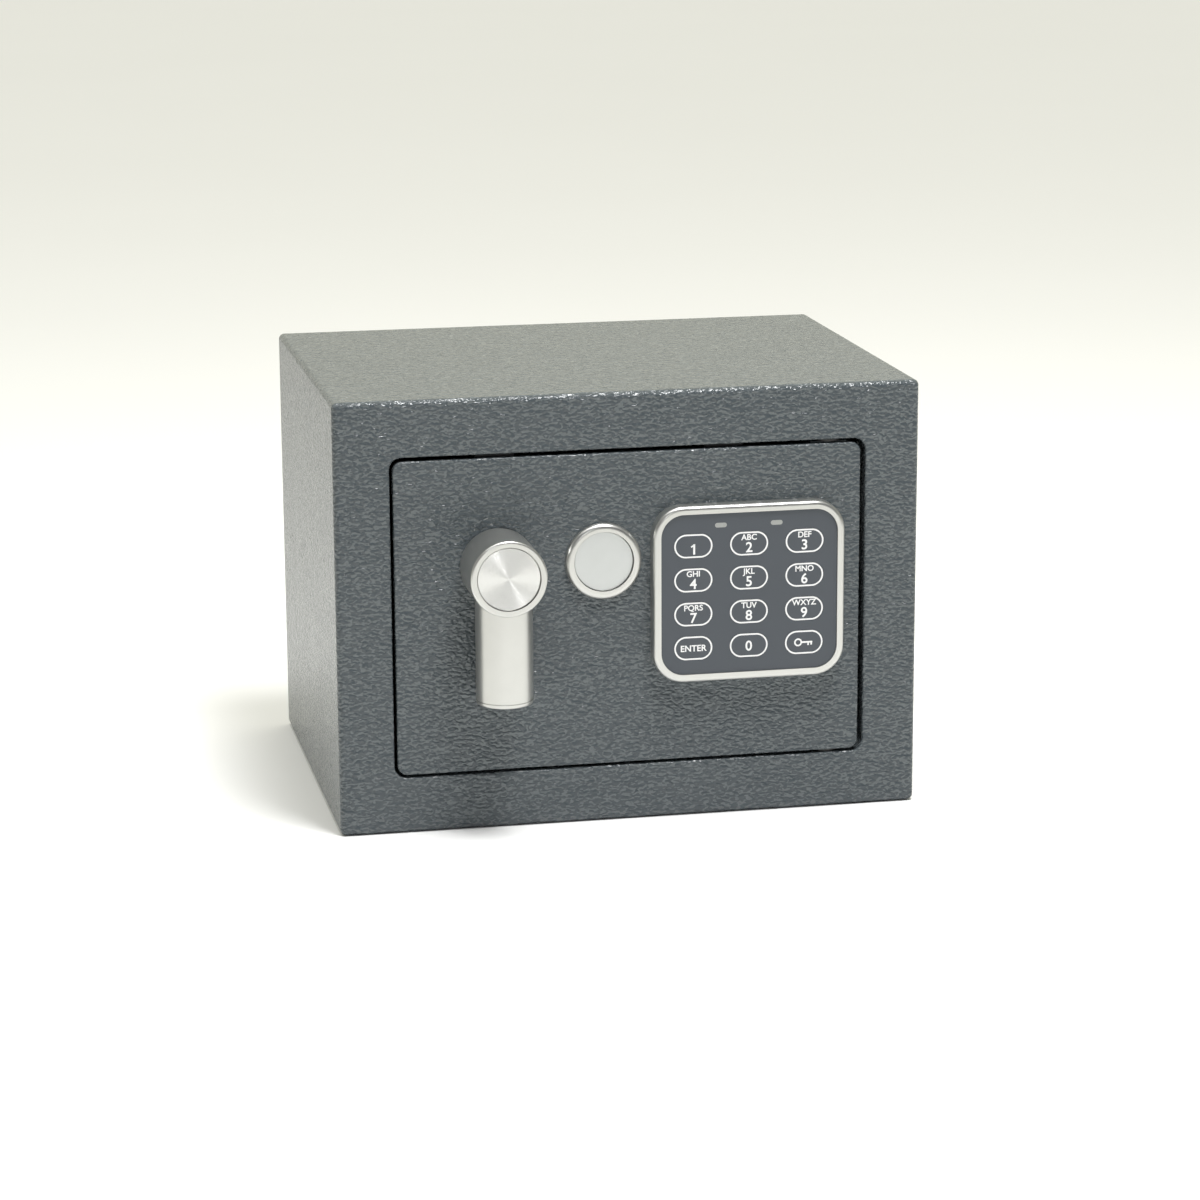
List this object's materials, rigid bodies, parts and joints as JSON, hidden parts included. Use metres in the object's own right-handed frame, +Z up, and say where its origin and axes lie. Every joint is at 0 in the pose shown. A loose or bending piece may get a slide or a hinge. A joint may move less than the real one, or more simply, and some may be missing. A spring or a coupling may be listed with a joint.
{
  "type": "in room safe",
  "caption": "Small electronic in-room safe: textured steel cabinet, flush hinged door with lever handle, covered emergency key lock and a number keypad.",
  "frame": {"origin": "centre of the cabinet's bottom face", "axes": "+X to the right seen from the front, +Y to the back, +Z up"},
  "size_m": [0.23, 0.195, 0.17],
  "materials": {
    "powder_coat": "textured slate grey powder coat, semi-gloss",
    "bare_steel": "plain zinc-coated sheet",
    "black_oxide": "black oxide steel",
    "zinc_plate": "bright zinc plate",
    "bolt_chrome": "polished nickel plate",
    "spring_steel": "nickel-plated spring steel",
    "felt": "needle-punched grey felt",
    "nylon": "black nylon",
    "black_plastic": "fine-textured black plastic",
    "battery_sleeve": "printed sleeve",
    "board_green": "green solder mask",
    "component_black": "moulded black epoxy",
    "red_plastic": "glossy red plastic",
    "satin_silver": "satin silver",
    "spun_aluminium": "spun satin",
    "overlay_film": "semi-matte slate film",
    "key_film": "semi-matte slate film with white print",
    "lens_clear": "frosted translucent window",
    "coil_winding": "taped enamelled copper winding",
    "lead_red": "red wire insulation",
    "lock_brass": "nickel-plated brass"
  },
  "bodies": {
    "cabinet": {"body_shell": "powder_coat", "rear_panel": "powder_coat", "hinge_plates": "powder_coat", "door_stops": "black_oxide", "floor_mat": "felt"},
    "door": {"door_plate": "powder_coat", "hinge_blocks": "powder_coat", "hinge_pins": "black_oxide", "hinge_washers": "nylon", "bolt_guide_bracket": "powder_coat", "guide_posts": "bare_steel", "cover_posts": "bare_steel", "cover_screws": "zinc_plate", "door_back_cover": "black_plastic", "battery_tray": "black_plastic", "batteries": "battery_sleeve", "battery_contacts": "spring_steel", "control_board": "board_green", "board_components": "component_black", "keypad_bezel": "satin_silver", "keypad_overlay": "overlay_film", "led_lenses": "lens_clear", "keypad_board": "board_green", "key_domes": "spring_steel", "door_nuts": "zinc_plate", "solenoid_frame": "bare_steel", "solenoid_coil": "coil_winding", "solenoid_leads": "lead_red", "key_cover_ring": "satin_silver", "override_barrel": "lock_brass"},
    "handle": {"handle_lever": "satin_silver", "handle_cap": "spun_aluminium", "handle_screw": "black_oxide", "spindle": "zinc_plate", "spindle_clip": "black_oxide", "spindle_cam": "zinc_plate"},
    "lock_bar": {"lock_bar": "zinc_plate", "locking_bolts": "bolt_chrome", "bolt_screws": "zinc_plate"},
    "plunger": {"solenoid_plunger": "zinc_plate", "solenoid_spring": "spring_steel", "override_link": "bare_steel"},
    "lock_plug": {"override_plug": "lock_brass", "override_cam": "zinc_plate", "override_cam_screw": "zinc_plate"},
    "key_cover": {"key_cover_cap": "spun_aluminium"},
    "battery_lid": {"battery_cover": "black_plastic"},
    "reset_button": {"reset_button": "red_plastic"},
    "keypad_key_1": {"key_1": "key_film"},
    "keypad_key_2": {"key_2": "key_film"},
    "keypad_key_3": {"key_3": "key_film"},
    "keypad_key_4": {"key_4": "key_film"},
    "keypad_key_5": {"key_5": "key_film"},
    "keypad_key_6": {"key_6": "key_film"},
    "keypad_key_7": {"key_7": "key_film"},
    "keypad_key_8": {"key_8": "key_film"},
    "keypad_key_9": {"key_9": "key_film"},
    "keypad_key_enter": {"key_enter": "key_film"},
    "keypad_key_0": {"key_0": "key_film"},
    "keypad_key_key": {"key_key": "key_film"}
  },
  "joints": [
    {"name": "door_hinge", "type": "hinge", "parent": "cabinet", "child": "door", "pos_m": [0.0795, -0.078, 0.085], "axis": [0, 0, 1], "range_deg": [0, 93]},
    {"name": "handle_turn", "type": "hinge", "parent": "door", "child": "handle", "pos_m": [-0.0522, -0.085, 0.1045], "axis": [0, 1, 0], "range_deg": [0, 90]},
    {"name": "bolt_slide", "type": "slide", "parent": "door", "child": "lock_bar", "axis": [-1, 0, 0], "range_m": [0, 0.0128]},
    {"name": "plunger_slide", "type": "slide", "parent": "door", "child": "plunger", "axis": [0, 0, -1], "range_m": [-0.004, 0], "deforming": ["solenoid_spring"]},
    {"name": "key_cover_pull", "type": "slide", "parent": "door", "child": "key_cover", "axis": [0, -1, 0], "range_m": [0, 0.015]},
    {"name": "override_turn", "type": "hinge", "parent": "door", "child": "lock_plug", "pos_m": [-0.011, -0.085, 0.1043], "axis": [0, 1, 0], "range_deg": [0, 90]},
    {"name": "battery_lid_pull", "type": "slide", "parent": "door", "child": "battery_lid", "axis": [0, 1, 0], "range_m": [0, 0.025]},
    {"name": "reset_press", "type": "slide", "parent": "door", "child": "reset_button", "axis": [0, -1, 0], "range_m": [0, 0.0007], "stiffness_N_per_m": 600},
    {"name": "press_1", "type": "slide", "parent": "door", "child": "keypad_key_1", "axis": [0, 1, 0], "range_m": [0, 0.00045], "stiffness_N_per_m": 900},
    {"name": "press_2", "type": "slide", "parent": "door", "child": "keypad_key_2", "axis": [0, 1, 0], "range_m": [0, 0.00045], "stiffness_N_per_m": 900},
    {"name": "press_3", "type": "slide", "parent": "door", "child": "keypad_key_3", "axis": [0, 1, 0], "range_m": [0, 0.00045], "stiffness_N_per_m": 900},
    {"name": "press_4", "type": "slide", "parent": "door", "child": "keypad_key_4", "axis": [0, 1, 0], "range_m": [0, 0.00045], "stiffness_N_per_m": 900},
    {"name": "press_5", "type": "slide", "parent": "door", "child": "keypad_key_5", "axis": [0, 1, 0], "range_m": [0, 0.00045], "stiffness_N_per_m": 900},
    {"name": "press_6", "type": "slide", "parent": "door", "child": "keypad_key_6", "axis": [0, 1, 0], "range_m": [0, 0.00045], "stiffness_N_per_m": 900},
    {"name": "press_7", "type": "slide", "parent": "door", "child": "keypad_key_7", "axis": [0, 1, 0], "range_m": [0, 0.00045], "stiffness_N_per_m": 900},
    {"name": "press_8", "type": "slide", "parent": "door", "child": "keypad_key_8", "axis": [0, 1, 0], "range_m": [0, 0.00045], "stiffness_N_per_m": 900},
    {"name": "press_9", "type": "slide", "parent": "door", "child": "keypad_key_9", "axis": [0, 1, 0], "range_m": [0, 0.00045], "stiffness_N_per_m": 900},
    {"name": "press_enter", "type": "slide", "parent": "door", "child": "keypad_key_enter", "axis": [0, 1, 0], "range_m": [0, 0.00045], "stiffness_N_per_m": 900},
    {"name": "press_0", "type": "slide", "parent": "door", "child": "keypad_key_0", "axis": [0, 1, 0], "range_m": [0, 0.00045], "stiffness_N_per_m": 900},
    {"name": "press_key", "type": "slide", "parent": "door", "child": "keypad_key_key", "axis": [0, 1, 0], "range_m": [0, 0.00045], "stiffness_N_per_m": 900}
  ],
  "couplings": [
    {"joint": "bolt_slide", "follows": "handle_turn", "m_per_rad": 0.008103}
  ]
}
